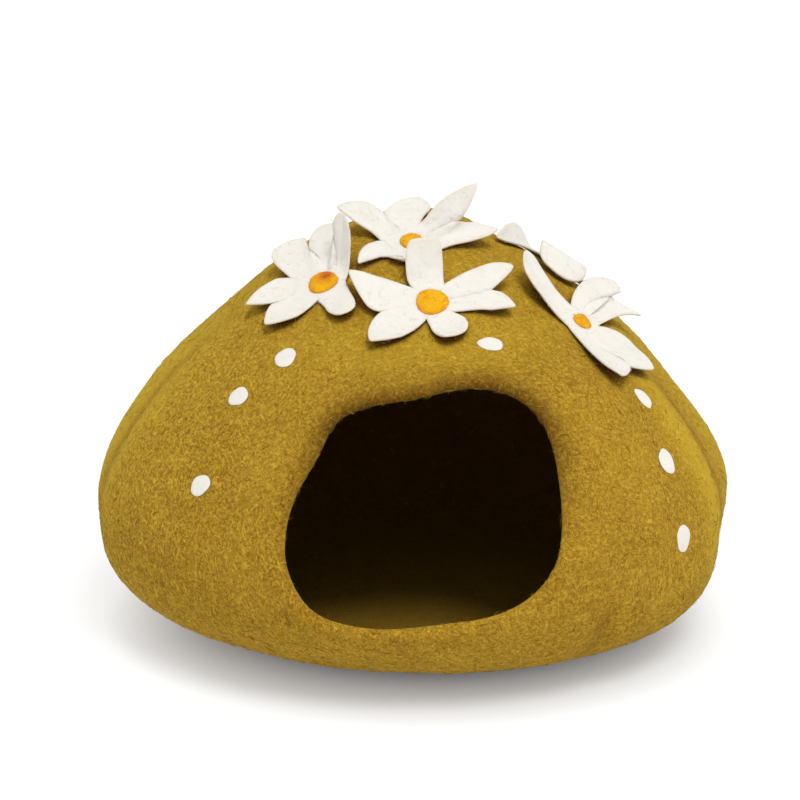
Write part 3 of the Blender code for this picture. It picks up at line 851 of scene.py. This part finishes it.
def make_dot(number, spot):
    """Rings from the middle to an ellipse whose radius has a third and a fifth wave in it."""
    ground = Ground(spot.heading, spot.rise)
    shares = np.sin(np.pi / 2 * np.linspace(0, 1, DOT_ROWS + 1))
    turns = np.linspace(0, 2 * np.pi, DOT_SPOKES, endpoint=False)
    share, turn = np.meshgrid(shares, turns, indexing="ij")
    wobble = 2 * np.cos(3 * turn + 2.3 * number) + np.cos(5 * turn + number)
    wide = MM * (1 + DOT_WOBBLE * wobble)
    along = spot.longer * wide * share * np.cos(turn)
    across = spot.shorter * wide * share * np.sin(turn)
    lean = np.radians(spot.turn)
    right = spot.right * MM + along * np.cos(lean) - across * np.sin(lean)
    up = spot.up * MM + along * np.sin(lean) + across * np.cos(lean)
    full = edge_share((1 - share) * spot.shorter * wide, DOT_SOFTNESS)
    points = ground.place(right, up, DOT_SEAT + DOT_FELT / 2 * full)
    faces, plan = grid(*share.shape, closed=True)
    used, corners = only_used(np.maximum(faces[:, ::-1], DOT_SPOKES - 1))
    full = full.ravel()[used]
    sheet = Sheet(points.reshape(-1, 3)[used], corners, plan[:, ::-1], full)
    points, faces, flat_map, source = thick_felt(sheet, DOT_FELT, split=0.7)
    # edge: 1 at the thin border, for the painted cream of bounced light
    edge = 1 - full[source % len(used)]
    piece = make_object(f"dot_{number}_wool", points, faces, flat_map, {"edge": edge})
    settle(piece, f"dot_{number}")
    longer, shorter = spot.longer * MM, spot.shorter * MM
    2 * longer
    2 * shorter
    float(np.pi * longer * shorter)
    return piece


dots = [make_dot(number, spot) for number, spot in enumerate(DOTS, start=1)]

# %% [markdown]
# ## Loose fibres
# What tells felt from paper is its down: thousands of fine hairs that lie every way, with a few that
# stand off and catch the light at the outline.  A hair system could grow them, but it doesn't leave
# as a mesh.  So each hair is a spindle of eight points, thin at both ends, bent sideways and arched
# off the felt, and all the hairs of a piece are worked out at once.

# %% Where hairs grow
def scatter(piece, count, dice, weigh):
    """Random points and normals (count, 3), spread over a piece by area times a weight, if any."""
    mesh = piece.data
    mesh.calc_loop_triangles()
    corners = np.empty(3 * len(mesh.loop_triangles), np.int32)
    mesh.loop_triangles.foreach_get("vertices", corners)
    corners = corners.reshape(-1, 3)
    points, normals = np.empty((2, len(mesh.vertices), 3))
    mesh.vertices.foreach_get("co", points.reshape(-1))
    mesh.vertices.foreach_get("normal", normals.reshape(-1))
    first, second, third = np.moveaxis(points[corners], 1, 0)
    weight = np.linalg.norm(np.cross(second - first, third - first), axis=1)
    if weigh:
        weight = weight * weigh((first + second + third) / 3, normals[corners[:, 0]])
    chosen = dice.choice(len(corners), count, p=weight / weight.sum())
    shares = dice.dirichlet((1, 1, 1), count)[..., None]
    place = np.sum(points[corners[chosen]] * shares, axis=1)
    return place, unit(np.sum(normals[corners[chosen]] * shares, axis=1))


# %% Spindles
Hair = namedtuple("Hair", "shortest longest thickness stand flyaway_share flyaway_stand")
HAIR_ENDS_SUNK = 0.0003
HAIR_BEND = 0.16          # share of a hair's length
HAIR_RINGS = (-0.5, -0.18, 0.18, 0.5)
LYING, FLYING, THICK = (0.3, 1.0), (0.4, 1.0), (0.6, 1.2)    # ranges of shares of a habit's sizes


def hairs(places, normals, habit, dice):
    """Points (count, 8, 3): tail, two rings of three and head, at the shares s of HAIR_RINGS.

    A hair runs along by s times its length, and both its bend sideways and its stand off the felt
    are times 1 - 4 s^2, so its ends dip under the surface.
    """
    count = len(places)
    along = dice.normal(size=(count, 3))
    along = unit(along - normals * np.sum(along * normals, axis=1, keepdims=True))
    across = np.cross(normals, along)
    length = dice.uniform(habit.shortest, habit.longest, count)
    bend = dice.normal(0, HAIR_BEND, count) * length
    stand = habit.stand * dice.uniform(*LYING, count)
    wild = dice.random(count) < habit.flyaway_share
    stand = np.where(wild, habit.flyaway_stand * dice.uniform(*FLYING, count), stand)
    share = np.array(HAIR_RINGS)
    arch = 1 - 4 * share ** 2
    middle = places[:, None] + along[:, None] * (length[:, None] * share)[..., None]
    middle = middle + across[:, None] * (bend[:, None] * arch)[..., None]
    off = stand[:, None] * arch - HAIR_ENDS_SUNK
    middle = middle + normals[:, None] * off[..., None]
    turn = 2 * np.pi * np.arange(3) / 3
    spokes = np.cos(turn)[:, None] * across[:, None] + np.sin(turn)[:, None] * normals[:, None]
    spokes = spokes * (habit.thickness / 2 * dice.uniform(*THICK, count))[:, None, None]
    ring_a, ring_b = middle[:, 1:2] + spokes, middle[:, 2:3] + spokes
    return np.concatenate([middle[:, :1], ring_a, ring_b, middle[:, 3:]], axis=1)


def make_down(name, piece, count, habit, slot, dice, weigh=None):
    """Hairs on a piece, as one mesh; each has a random shade, a map cell and, on the mustard, the
    painted light-and-shade tone and the grain of its place.

    A hair's faces are a closed grid of four rings, whose first and last rings are single points.
    """
    places, normals = scatter(piece, count, dice, weigh)
    points = hairs(places, normals, habit, dice)
    faces, cells = grid(4, 3, closed=True)
    faces = np.clip(faces - 2, 0, 7) + 8 * np.arange(count)[:, None, None]
    side = int(np.ceil(np.sqrt(count)))
    corner = np.stack([np.arange(count) % side, np.arange(count) // side], axis=-1)
    flat_map = (corner[:, None, None] + 0.1 + 0.8 * cells) / side
    layers = {"shade": dice.random(count)}
    if slot == "wool_mustard":
        layers.update(tone_and_grain(places))
    layers = {title: np.repeat(values, 8) for title, values in layers.items()}
    down = make_object(name, points.reshape(-1, 3), faces.reshape(-1, 4),
                       flat_map.reshape(-1, 4, 2), layers)
    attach(down, "root")
    return down


# %% Grow the down
MUSTARD_HAIR = Hair(0.005, 0.012, 0.00028, 0.0004, 0.10, 0.0011)
WHITE_HAIR = Hair(0.003, 0.006, 0.00016, 0.0004, 0.20, 0.0012)
ORANGE_HAIR = Hair(0.003, 0.006, 0.00018, 0.0006, 0.25, 0.0014)
MUSTARD_COUNT = 13200     # in each of the pieces
HAIRS_ON_A_FLOWER = 1500
HAIRS_ON_A_TUFT = 260
WANTED_INSIDE = 0.2
FLOOR_CLEARANCE = 0.003
DOT_CLEARANCE = 0.0085


def wanted_on_shell(points, normals):
    """1 outside, WANTED_INSIDE inside, and 0 on the flat underside and on the dots."""
    outside = np.sum(normals * (points - HEART), axis=1) > 0
    weight = np.where(outside, 1.0, WANTED_INSIDE) * (points[:, 2] > FLOOR_CLEARANCE)
    for spot in DOTS:
        away = points - skin_along(toward(spot.heading, spot.rise))
        weight = weight * (np.linalg.norm(away, axis=1) > DOT_CLEARANCE)
    return weight


mustard_down, white_down, orange_down = [], [], []
for number in range(1, 4):
    dice = np.random.default_rng(100 + number)
    mustard_down.append(make_down(f"pod_down_{number}", shell, MUSTARD_COUNT, MUSTARD_HAIR,
                                  "wool_mustard", dice, wanted_on_shell))
for number, place in enumerate(BLOSSOMS):
    dice = np.random.default_rng(200 + number)
    white_down.append(make_down(f"blossom_{place}_down", flowers[place], HAIRS_ON_A_FLOWER,
                                WHITE_HAIR, "wool_white", dice))
    orange_down.append(make_down(f"centre_{place}_down", tufts[place], HAIRS_ON_A_TUFT,
                                 ORANGE_HAIR, "wool_orange", dice))

# %% [markdown]
# ## Shader maths
# A felt is a page of sums: noise plus noise, stretched and bent.  Written as nodes that page is
# unreadable, so a small class wraps a socket, and plain + - * and ** on it add the Math nodes.

# %% A bench for materials
def operator(operation, reflected=False):
    """A method that adds a Math node; reflected is for a plain number on the left."""
    def method(self, other):
        return self.math(operation, *((other, self) if reflected else (self, other)))
    return method


class Wired:
    """A value in a node tree, on which + - * and ** add Math nodes."""

    larger = operator("MAXIMUM")
    smaller = operator("MINIMUM")

    def __init__(self, bench, socket):
        self.bench = bench
        self.socket = socket

    def math(self, operation, *values):
        return self.bench.node("ShaderNodeMath", {"operation": operation}, dict(enumerate(values)))

    def __abs__(self):
        return self.math("ABSOLUTE", self)

    def clipped(self):
        """The value held between 0 and 1."""
        return self.larger(0.0).smaller(1.0)


for sign, operation in zip(("add", "sub", "mul", "pow"), ("ADD", "SUBTRACT", "MULTIPLY", "POWER")):
    setattr(Wired, f"__{sign}__", operator(operation))
    setattr(Wired, f"__r{sign}__", operator(operation, reflected=True))

FULL_WHITE = (1.0, 1.0, 1.0, 1.0)
BLACK = (0.0, 0.0, 0.0, 1.0)
SIGHT_LINES = 16          # rays that feel for something near a point


class Bench:
    """One material's node tree."""

    def __init__(self, name):
        self.material = bpy.data.materials.new(name)
        self.material.use_nodes = True
        self.tree = self.material.node_tree
        self.tree.nodes.clear()

    def node(self, kind, settings=None, sockets=None, output=0):
        """Add a node: its settings first, then the values or links of its sockets."""
        node = self.tree.nodes.new(kind)
        for title, value in (settings or {}).items():
            setattr(node, title, value)
        for place, value in (sockets or {}).items():
            if isinstance(value, Wired):
                self.tree.links.new(value.socket, node.inputs[place])
            else:
                node.inputs[place].default_value = value
        return Wired(self, node.outputs[output])

    def place(self):
        return self.node("ShaderNodeTexCoord", output="Object")

    def layer(self, title):
        return self.node("ShaderNodeAttribute", {"attribute_name": title}, output="Fac")

    def noise(self, place, size, detail=2.0, roughness=0.5, output="Fac"):
        """Noise from 0 to 1 whose largest spots are about size metres across."""
        sockets = {"Vector": place, "Scale": 1 / size, "Detail": detail, "Roughness": roughness}
        return self.node("ShaderNodeTexNoise", None, sockets, output)

    def mix(self, share, start, end):
        """The colour a share of the way from start to end."""
        sockets = {"Factor": share, 6: start, 7: end}
        return self.node("ShaderNodeMix", {"data_type": "RGBA"}, sockets, output=2)

    def free_room(self, reach):
        """1 where nothing stands within reach over the surface, and less the more does."""
        settings = {"samples": SIGHT_LINES}
        return self.node("ShaderNodeAmbientOcclusion", settings, {"Distance": reach}, "AO")

    def vector(self, operation, *values):
        return self.node("ShaderNodeVectorMath", {"operation": operation}, dict(enumerate(values)))

    def finish(self, colour, roughness, height, depth, gloss, sheen=0.0, tint=FULL_WHITE,
               others=None):
        """Close the tree with a Principled BSDF.  The bump is height, from 0 to 1, times depth."""
        normal = self.node("ShaderNodeBump", None, {"Height": height, "Distance": depth})
        sockets = {"Base Color": colour, "Roughness": roughness, "Normal": normal,
                   "Specular IOR Level": gloss, "Sheen Weight": sheen, "Sheen Tint": tint,
                   **(others or {})}
        shader = self.node("ShaderNodeBsdfPrincipled", None, sockets)
        end = self.tree.nodes.new("ShaderNodeOutputMaterial")
        self.tree.links.new(shader.socket, end.inputs["Surface"])
        return self.material


# %% [markdown]
# ## The look of felt
# Close up, felt is a mat of wavy lines; from a step away it is mottled, darker where it is packed
# hard and lighter where it is loose.  A line is where a noise passes through its middle value, and
# stretching the noise makes lines that run one way.  Four ways together, bent by a slow noise, give
# the mat on every side of a round body, and the same lines make a fine bump.

# %% Felt from noise
Weft = namedtuple("Weft", "turn stretch")
FELT_WAYS = (
    Weft((0.0, 0.0, 0.5), 6.0),
    Weft((0.3, 1.45, 0.0), 7.0),
    Weft((0.4, -0.5, 2.1), 5.0),
    Weft((-0.9, 0.7, 1.2), 5.0),
)
LINE_SHARPNESS = 20.0
BEND_SIZE = 0.016
BEND_REACH = 0.006
LONG_FIBRE = 0.0024
SHORT_FIBRE = 0.0014


def bent_place(bench):
    """Object coordinates pushed about by up to half of BEND_REACH, so that no line is straight."""
    place = bench.place()
    push = bench.noise(place, BEND_SIZE, output="Color")
    push = bench.vector("SUBTRACT", push, (0.5, 0.5, 0.5))
    return place, bench.vector("MULTIPLY_ADD", push, (BEND_REACH,) * 3, place)


def felt_lines(bench, place, size):
    """The greatest of 1 - sharpness * |noise - 1/2| over the ways, clipped to 0..1."""
    lines = None
    for way in FELT_WAYS:
        stretched = bench.node("ShaderNodeMapping", {"vector_type": "TEXTURE"}, {
            "Vector": place, "Rotation": way.turn, "Scale": (way.stretch, 1.0, 1.0)})
        noise = bench.noise(stretched, size, detail=1.0)
        line = (1 - abs(noise - 0.5) * LINE_SHARPNESS).clipped()
        lines = line if lines is None else lines.larger(line)
    return lines


# %% Mustard wool
MUSTARD_DEEP = (0.188, 0.075, 0.006, 1.0)
MUSTARD = (0.430, 0.231, 0.020, 1.0)
MUSTARD_LIGHT = (0.620, 0.400, 0.038, 1.0)
MUSTARD_LIT = (0.600, 0.396, 0.024, 1.0)
MUSTARD_SHADED = (0.270, 0.118, 0.009, 1.0)
# painted shade for the edge over the mouth
LIP_SHADE_BROWN = (0.095, 0.038, 0.004, 1.0)
# painted shadow under the petals
PETAL_SHADE_BROWN = (0.100, 0.032, 0.004, 1.0)
# painted shade for the inner face of the cave
CAVE_SHADE_BROWN = (0.190, 0.090, 0.012, 1.0)
MUSTARD_SHEEN = (1.0, 0.78, 0.10, 1.0)
CLOUD_SIZE = 0.040
MOTTLE_SIZE = 0.0026
TONE_SHARE = 0.75         # of the painted lit yellow at a tone of 1, and of the painted shaded brown at -1
PETAL_SHADE_REACH = 0.012       # a petal within this distance casts painted shadow on the felt under it
FELT_DEPTH = 0.5 * MM     # of its bumps
HAIR_DEPTH = 0.05 * MM


def mustard_tone(bench, place, lines):
    """Slow clouds and quick mottling between the deep and the plain tone, painted light and shade by
    the tone layer, and lines to the light.

    Mottling swings about its mean, and swings wider where the grain layer is strong.
    """
    clouds = (bench.noise(place, CLOUD_SIZE) - 0.5) * 1.8 + 0.55
    grain = bench.layer("grain")
    mottle = bench.noise(place, MOTTLE_SIZE, detail=3.0, roughness=0.65) - 0.5
    mottle = mottle * (3.4 + grain * 3.2) + 0.57
    packed = (clouds * 0.35 + mottle * 0.65).clipped()
    colour = bench.mix((packed * 0.8 + 0.15).clipped(), MUSTARD_DEEP, MUSTARD)
    # painted light and shade: lit yellow where the tone is positive, shaded brown where it is negative
    light_shade_tone = bench.layer("light_shade_tone")
    colour = bench.mix((light_shade_tone * TONE_SHARE).clipped(), colour, MUSTARD_LIT)
    colour = bench.mix((light_shade_tone * -TONE_SHARE).clipped(), colour, MUSTARD_SHADED)
    lit = (lines * (0.3 + packed * 0.5 + grain * 0.25)).clipped()
    return bench.mix(lit, colour, MUSTARD_LIGHT), packed


def under_petal_shade(bench):
    """The share of painted shadow under petals: from 0 in the open to 1 well under a petal."""
    return ((1 - bench.free_room(PETAL_SHADE_REACH)) * 2.2 - 0.45).clipped()


def mustard_felt():
    bench = Bench("mustard_felt")
    place, bent = bent_place(bench)
    lines = felt_lines(bench, bent, LONG_FIBRE)
    colour, packed = mustard_tone(bench, place, lines)
    crease_light = bench.layer("crease_light")
    # painted highlight on the crests and painted shade in the grooves
    colour = bench.mix((crease_light * 0.45).clipped(), colour, MUSTARD_LIGHT)
    colour = bench.mix((crease_light * -0.5).clipped(), colour, MUSTARD_DEEP)
    # painted shade on the edge over the mouth
    colour = bench.mix(bench.layer("lip_shade") * (1.05 - packed * 0.35), colour, LIP_SHADE_BROWN)
    # painted shadow of the petals on the felt under them
    colour = bench.mix(under_petal_shade(bench), colour, PETAL_SHADE_BROWN)
    # painted shade inside the cave
    colour = bench.mix(bench.layer("cave_shade") * 0.85, colour, CAVE_SHADE_BROWN)
    height = lines * 0.8 + packed * 0.6
    return bench.finish(colour, 0.97 - lines * 0.08, height, FELT_DEPTH, gloss=0.05,
                        sheen=0.30, tint=MUSTARD_SHEEN, others={"Sheen Roughness": 0.30})


def mustard_hair():
    bench = Bench("mustard_hair")
    shade = bench.layer("shade")
    colour, packed = mustard_tone(bench, bench.place(), shade * 0.6)
    colour = bench.mix((shade * 3.0 - 1.9).clipped(), colour, MUSTARD_LIGHT)
    colour = bench.mix((1.1 - shade * 3.0).clipped(), colour, MUSTARD_DEEP)
    return bench.finish(colour, 0.85 + packed * 0.1, packed, HAIR_DEPTH, gloss=0.05,
                        sheen=0.2, tint=MUSTARD_SHEEN)


# %% White wool
WHITE = (0.775, 0.750, 0.690, 1.0)
WHITE_SHADED = (0.735, 0.703, 0.628, 1.0)
# painted reflected light: warm bounce from the mustard on cut edges
CREAM_BOUNCE_EDGE = (0.730, 0.650, 0.500, 1.0)
WHITE_SHEEN = (1.0, 0.97, 0.9, 1.0)
WHITE_MOTTLE = 0.008
WHITE_DEPTH = 0.18 * MM


def plain_hair(name, start, end):
    """Each hair has its own mix of two colours, by its random shade."""
    bench = Bench(name)
    colour = bench.mix(bench.layer("shade"), start, end)
    mottle = bench.noise(bench.place(), WHITE_MOTTLE)
    return bench.finish(colour, 0.85 + mottle * 0.1, mottle, HAIR_DEPTH, gloss=0.2)


def white_felt():
    bench = Bench("white_felt")
    place, bent = bent_place(bench)
    lines = felt_lines(bench, bent, SHORT_FIBRE)
    packed = ((bench.noise(place, WHITE_MOTTLE, detail=3.0) - 0.5) * 2.0 + 0.6).clipped()
    colour = bench.mix((packed * 0.6 + lines * 0.3 + 0.2).clipped(), WHITE_SHADED, WHITE)
    # painted reflected light: cut edges take the cream of warm light bounced from the mustard felt
    colour = bench.mix(bench.layer("edge") * 0.45, colour, CREAM_BOUNCE_EDGE)
    height = lines * 0.4 + packed * 0.7
    return bench.finish(colour, 0.96 - lines * 0.06, height, WHITE_DEPTH, gloss=0.15,
                        sheen=0.15, tint=WHITE_SHEEN)


# %% Orange wool
ORANGE = (0.860, 0.390, 0.006, 1.0)
YELLOW = (0.920, 0.520, 0.010, 1.0)
RED_ORANGE = (0.780, 0.190, 0.004, 1.0)
EMBER_RED = (0.560, 0.072, 0.004, 1.0)
ORANGE_SHEEN = (1.0, 0.8, 0.4, 1.0)
ORANGE_PATCH = 0.011
ORANGE_DEPTH = 0.3 * MM
RIM_FROM = 0.70           # share of the radius at which the red of the rim begins


def orange_wool():
    """Yellow on top; towards the rim, and in patches, the red-orange of the wool under it."""
    bench = Bench("orange_wool")
    place, bent = bent_place(bench)
    lines = felt_lines(bench, bent, SHORT_FIBRE)
    patches = ((bench.noise(place, ORANGE_PATCH) - 0.5) * 2.4 + 0.5).clipped()
    colour = bench.mix(patches, ORANGE, YELLOW)
    rim = ((bench.layer("rim") - RIM_FROM) * 2.4).clipped() * (1.1 - patches * 0.8)
    colour = bench.mix((rim * 0.7).clipped(), colour, RED_ORANGE)
    ember = (bench.layer("ember") * (1.25 - patches * 0.4)).clipped()
    colour = bench.mix(ember, colour, EMBER_RED)
    height = lines * 0.6 + patches * 0.5
    return bench.finish(colour, 0.95 - lines * 0.08, height, ORANGE_DEPTH, gloss=0.15,
                        sheen=0.15, tint=ORANGE_SHEEN)


def dress(pieces, material):
    for piece in pieces:
        piece.data.materials.append(material)
    print(material.name, "on", len(pieces), "pieces")


dress([shell], mustard_felt())
dress(mustard_down, mustard_hair())
dress([*flowers.values(), *dots], white_felt())
dress(white_down, plain_hair("white_hair", WHITE_SHADED, WHITE))
dress(tufts.values(), orange_wool())
dress(orange_down, plain_hair("orange_hair", ORANGE, YELLOW))

# %% [markdown]
# ## The shell's area
# A felter lays out two round layers of wool and joins them at their border.  The area is the shell's
# own, halfway into its wall.

def surface_area(piece):
    """The sum of the areas of a piece's faces."""
    sizes = np.empty(len(piece.data.polygons))
    piece.data.polygons.foreach_get("area", sizes)
    return float(sizes.sum())


shell_area = surface_area(shell) / 2

# %% [markdown]
# ## Floor, light and camera
# A white floor in soft even light, with one broad lamp from the upper right, so shadows are short and
# fall to the lower left.  The floor glows a little, as a lit white table does, except close to the
# felt: that leaves the tight grey contact shadow of a catalogue picture.  The camera stands about 15
# degrees above level and well back, with a long lens.

# %% Stage
FLOOR_REACH = 40.0
FLOOR_DROP = 0.0003
FLOOR_WHITE = (0.28, 0.28, 0.28, 1.0)
FLOOR_GLOW = 0.74
FLOOR_GRAIN = 0.3
FLOOR_DEPTH = 0.1 * MM
SHADOW_REACH = 0.05


def make_floor():
    """A square of plain floor, a hair's breadth under the felt."""
    mesh = bpy.data.meshes.new("floor")
    corners = [(x * FLOOR_REACH, y * FLOOR_REACH, -FLOOR_DROP)
               for x, y in ((-1, -1), (1, -1), (1, 1), (-1, 1))]
    mesh.from_pydata(corners, [], [(0, 1, 2, 3)])
    floor = put_in_scene("floor", mesh)
    bench = Bench("white_floor")
    free = bench.free_room(SHADOW_REACH)
    # painted contact shadow: the floor's glow fades to black where the felt stands near
    glow = bench.mix((free ** 0.6 * 1.1 + 0.04).clipped(), BLACK, FULL_WHITE)
    grain = bench.noise(bench.place(), FLOOR_GRAIN)
    floor.data.materials.append(bench.finish(
        FLOOR_WHITE, 0.95, grain, FLOOR_DEPTH, gloss=0.0,
        others={"Emission Color": glow, "Emission Strength": FLOOR_GLOW}))


make_floor()

# %% Light
SKY_STRENGTH = 0.66
KEY_STRENGTH = 1.95
KEY_ANGLE = np.radians(22.0)
KEY_HEADING, KEY_RISE = 24.0, 60.0


def make_light():
    """Even light from all sides, and one wide sun that shines down from its heading and rise."""
    world = bpy.data.worlds.new("soft_room")
    world.use_nodes = True
    background = world.node_tree.nodes["Background"]
    background.inputs["Color"].default_value = FULL_WHITE
    background.inputs["Strength"].default_value = SKY_STRENGTH
    bpy.context.scene.world = world
    lamp = bpy.data.lights.new("key", "SUN")
    lamp.energy = KEY_STRENGTH
    lamp.angle = float(KEY_ANGLE)
    key = put_in_scene("key", lamp)
    key.rotation_euler = Vector(toward(KEY_HEADING, KEY_RISE)).to_track_quat("Z", "Y").to_euler()
    bpy.context.scene.view_settings.view_transform = "Standard"


make_light()

# %% Camera
CAMERA_PLACE = (-0.009, -1.4419, 0.5435)
CAMERA_TILT = np.radians(90 - 15.02)
SENSOR = 36.0
LENS = SENSOR * 2018 / 800    # 2018 pixels of focal length across a picture of 800
FARTHEST = 100.0


def make_camera():
    """A level camera with a long lens, tilted down by 15.02 degrees."""
    data = bpy.data.cameras.new("camera")
    data.sensor_width = SENSOR
    data.lens = LENS
    data.clip_end = FARTHEST
    camera = put_in_scene("camera", data)
    camera.location = CAMERA_PLACE
    camera.rotation_euler = (float(CAMERA_TILT), 0.0, 0.0)
    bpy.context.scene.camera = camera


make_camera()
